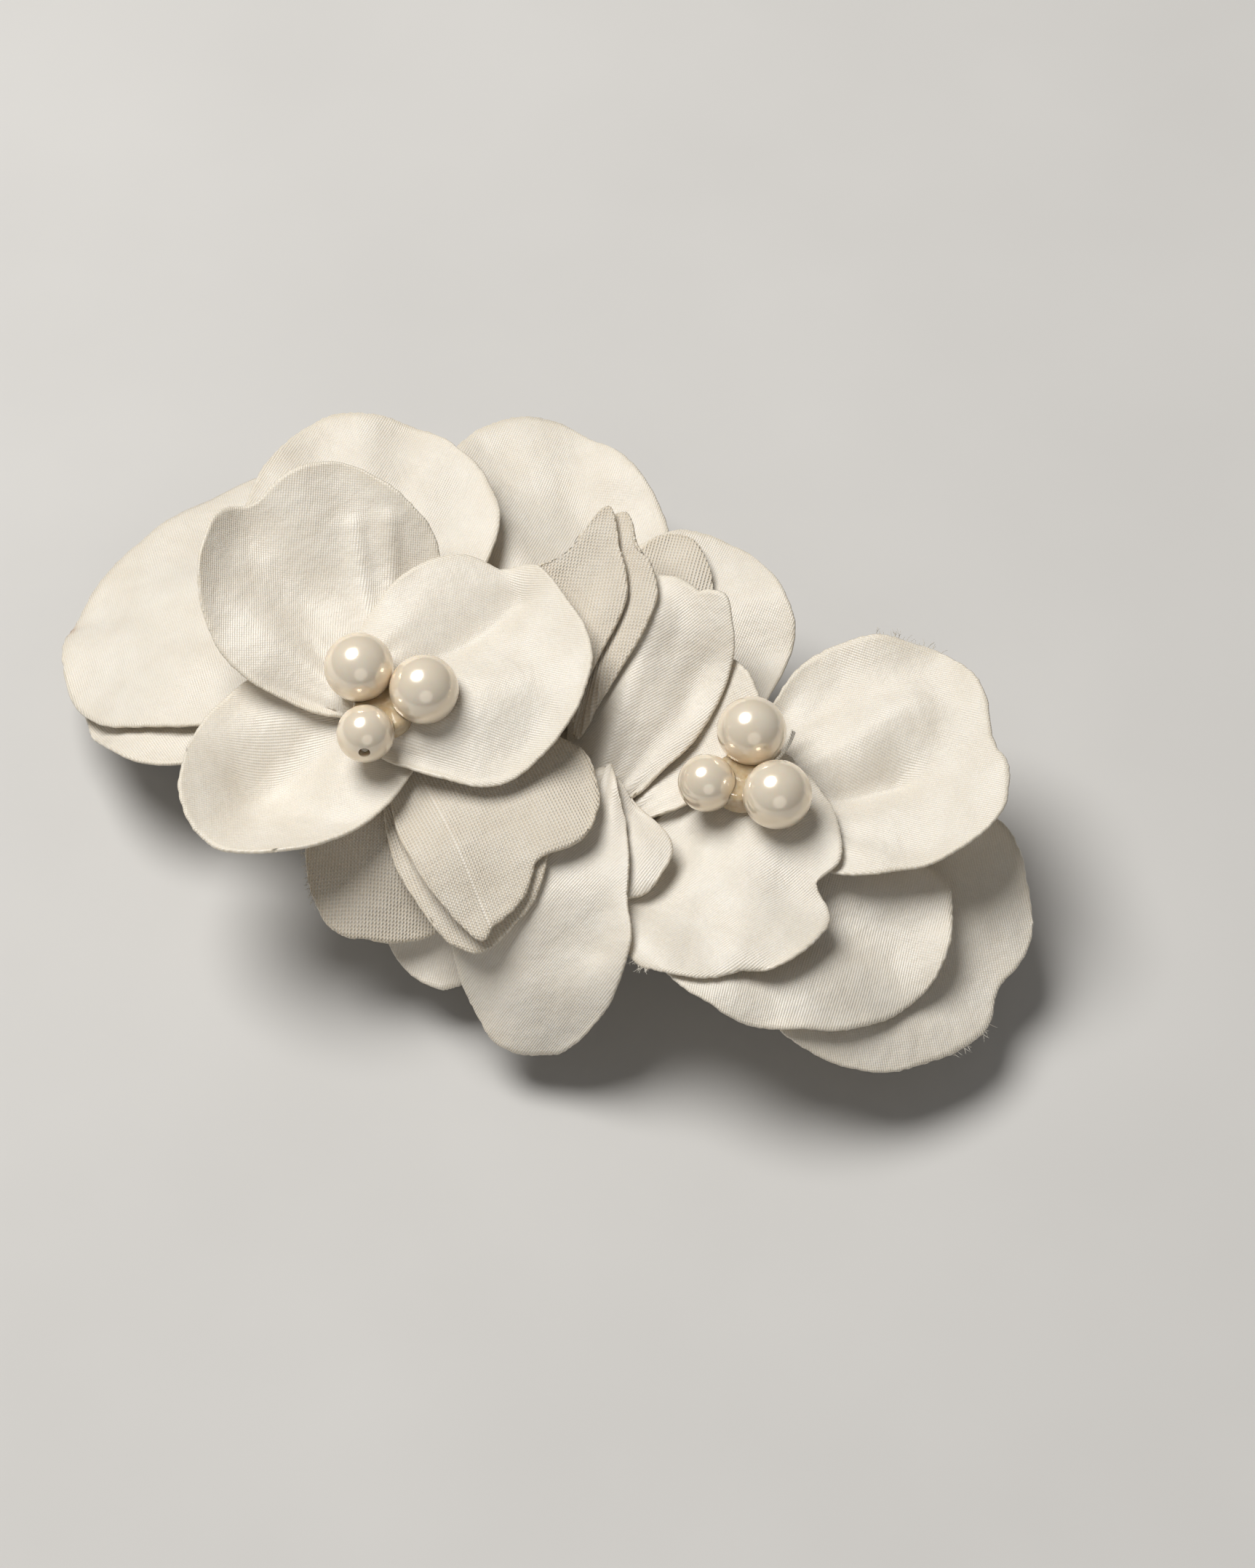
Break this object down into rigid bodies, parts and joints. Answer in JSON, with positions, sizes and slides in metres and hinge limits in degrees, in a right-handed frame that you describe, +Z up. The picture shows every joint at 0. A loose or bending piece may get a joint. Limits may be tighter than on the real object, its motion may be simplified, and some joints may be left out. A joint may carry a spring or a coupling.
{
  "type": "flower hair clip",
  "caption": "Hair barrette with layered ivory fabric flower heads and imitation pearls on a felt-backed French clip with a hinged clasp arm.",
  "frame": {"origin": "on the table plane under the middle of the closed clip's outline, flowers up", "axes": "+X along the clip from its hinge to its catch, +Y across it away from the front, +Z up out of the flowers"},
  "size_m": [0.0917, 0.0575, 0.0278],
  "materials": {
    "ivory_satin": "ivory woven satin, softly sheened, stiffened",
    "pearl": "imitation pearl, glossy coat over a soft cream lustre",
    "clear_glue": "clear glue, slightly amber",
    "thread": "ivory sewing thread",
    "felt": "cream wool felt, matt",
    "nickel_steel": "nickel-plated pressed steel",
    "spring_steel": "bare spring steel strip"
  },
  "bodies": {
    "barrette": {"backing_felt": "felt", "base_strip": "nickel_steel", "catch_bracket": "nickel_steel", "hinge_pin": "nickel_steel", "left_felt_disc": "felt", "left_inner_petal_back": "ivory_satin", "left_inner_petal_front": "ivory_satin", "left_inner_petal_right": "ivory_satin", "left_outer_petal_back": "ivory_satin", "left_outer_petal_front": "ivory_satin", "left_outer_petal_left": "ivory_satin", "left_outer_petal_right": "ivory_satin", "left_pearl_back": "pearl", "left_pearl_front": "pearl", "left_pearl_glue": "clear_glue", "left_pearl_right": "pearl", "left_pearl_threads": "thread", "left_under_petal_front": "ivory_satin", "left_under_petal_left": "ivory_satin", "left_under_petal_right": "ivory_satin", "middle_felt_disc": "felt", "middle_petal_back": "ivory_satin", "middle_petal_corner": "ivory_satin", "middle_petal_front": "ivory_satin", "middle_petal_right": "ivory_satin", "middle_petal_right_under": "ivory_satin", "middle_petal_upright": "ivory_satin", "middle_petal_upright_under": "ivory_satin", "right_felt_disc": "felt", "right_outer_petal_front": "ivory_satin", "right_pearl_back": "pearl", "right_pearl_glue": "clear_glue", "right_pearl_left": "pearl", "right_pearl_right": "pearl", "right_pearl_threads": "thread", "right_petal_back": "ivory_satin", "right_petal_back_upper": "ivory_satin", "right_petal_front": "ivory_satin", "right_petal_right": "ivory_satin", "right_under_petal_front": "ivory_satin", "stitches": "thread"},
    "arm": {"clasp_arm": "nickel_steel"},
    "bow": {"bow_spring": "spring_steel"},
    "prong_front": {"catch_prong_front": "spring_steel"},
    "prong_back": {"catch_prong_back": "spring_steel"}
  },
  "joints": [
    {"name": "clasp_open", "type": "hinge", "parent": "barrette", "child": "arm", "pos_m": [-0.036, -0.0075, 0.0034], "axis": [0, 1, 0], "range_deg": [0, 60]},
    {"name": "bow_flex", "type": "hinge", "parent": "barrette", "child": "bow", "pos_m": [-0.036, -0.0075, 0.0034], "axis": [0, 1, 0], "range_deg": [-1.5, 3], "stiffness_Nm_per_rad": 0.3},
    {"name": "prong_squeeze_front", "type": "hinge", "parent": "barrette", "child": "prong_front", "pos_m": [0.035, -0.0099, 0.00625], "axis": [1, 0, 0], "range_deg": [0, 10], "stiffness_Nm_per_rad": 0.17},
    {"name": "prong_squeeze_back", "type": "hinge", "parent": "barrette", "child": "prong_back", "pos_m": [0.035, -0.0051, 0.00625], "axis": [-1, 0, 0], "range_deg": [0, 10], "stiffness_Nm_per_rad": 0.17}
  ]
}
